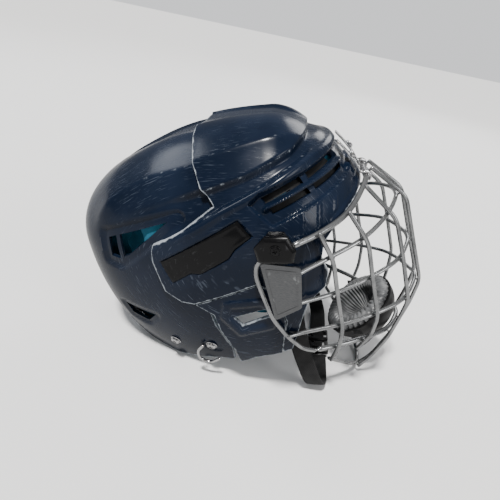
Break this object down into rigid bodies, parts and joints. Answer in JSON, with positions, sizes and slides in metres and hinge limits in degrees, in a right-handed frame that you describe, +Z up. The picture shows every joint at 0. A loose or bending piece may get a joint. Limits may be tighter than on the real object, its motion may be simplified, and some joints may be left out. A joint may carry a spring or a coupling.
{
  "type": "ice hockey helmet with wire face cage",
  "caption": "Adjustable two-piece hard shell helmet with a hinged welded wire face cage, padded chin cup, foam liner and buckled chin strap.",
  "frame": {"origin": "middle of the bounding box's bottom, on the table that the helmet stands on by its nape rim and the bottom of its cage", "axes": "+X points the way the face looks, +Y to the wearer's left, +Z up"},
  "size_m": [0.2966, 0.2052, 0.2171],
  "materials": {
    "navy_shell": "moulded, glossy, scuffed",
    "black_gloss": "glossy",
    "black_plastic": "satin moulded",
    "chrome": "polished",
    "cage_wire": "satin silver-white coating",
    "steel_plate": "satin silver coating",
    "foam": "soft closed-cell foam, matt",
    "grey_vinyl": "ribbed soft vinyl",
    "webbing": "woven nylon"
  },
  "bodies": {
    "front": {"front_shell": "navy_shell", "ear_cover_right": "navy_shell", "ear_cover_left": "navy_shell", "logo_plate_right": "black_gloss", "logo_plate_left": "black_gloss", "louvre_panel_right": "black_plastic", "louvre_panel_left": "black_plastic", "keeper_right": "black_gloss", "keeper_left": "black_gloss", "keeper_screw_right": "chrome", "keeper_screw_left": "chrome", "strap_anchor_right": "black_plastic", "strap_anchor_left": "black_plastic", "forehead_clip_right": "chrome", "forehead_clip_left": "chrome", "forehead_screw_right": "chrome", "forehead_screw_left": "chrome", "forehead_pad": "foam", "crown_pad": "foam", "temple_pad_right": "foam", "temple_pad_left": "foam"},
    "rear": {"rear_shell": "navy_shell", "rear_screw_right": "chrome", "rear_screw_left": "chrome", "hook_screw_right": "chrome", "hook_screw_left": "chrome", "wire_hook_right": "chrome", "wire_hook_left": "chrome", "rear_pad": "foam", "rear_crown_pad": "foam", "rear_side_pad_right": "foam", "rear_side_pad_left": "foam"},
    "cage": {"brow_bar": "cage_wire", "cage_bar_1": "cage_wire", "cage_bar_2": "cage_wire", "cage_bar_3": "cage_wire", "jaw_bar": "cage_wire", "chin_bar": "cage_wire", "upright_0_right": "cage_wire", "upright_0_left": "cage_wire", "upright_1_right": "cage_wire", "upright_1_left": "cage_wire", "upright_2_right": "cage_wire", "upright_2_left": "cage_wire", "upright_3_right": "cage_wire", "upright_3_left": "cage_wire", "side_loop_right": "cage_wire", "side_loop_left": "cage_wire", "cage_plate_right": "steel_plate", "cage_plate_left": "steel_plate", "chin_cup": "black_plastic", "chin_cup_pad": "grey_vinyl", "cup_tab_right": "webbing", "cup_tab_left": "webbing"},
    "chin_strap": {"chin_strap_right": "webbing", "chin_strap_left": "webbing", "buckle_socket": "black_plastic", "buckle_prong": "black_plastic"}
  },
  "joints": [
    {"name": "cage_flip", "type": "hinge", "parent": "front", "child": "cage", "pos_m": [0.07111, 0, 0.18779], "axis": [0, -1, 0], "range_deg": [0, 100]},
    {"name": "length_adjust", "type": "slide", "parent": "front", "child": "rear", "axis": [0.9659, 0, 0.2588], "range_m": [0, 0.01]},
    {"name": "strap_swing", "type": "hinge", "parent": "front", "child": "chin_strap", "pos_m": [0.0363, 0, 0.10827], "axis": [0, 1, 0], "range_deg": [0, 10]}
  ]
}
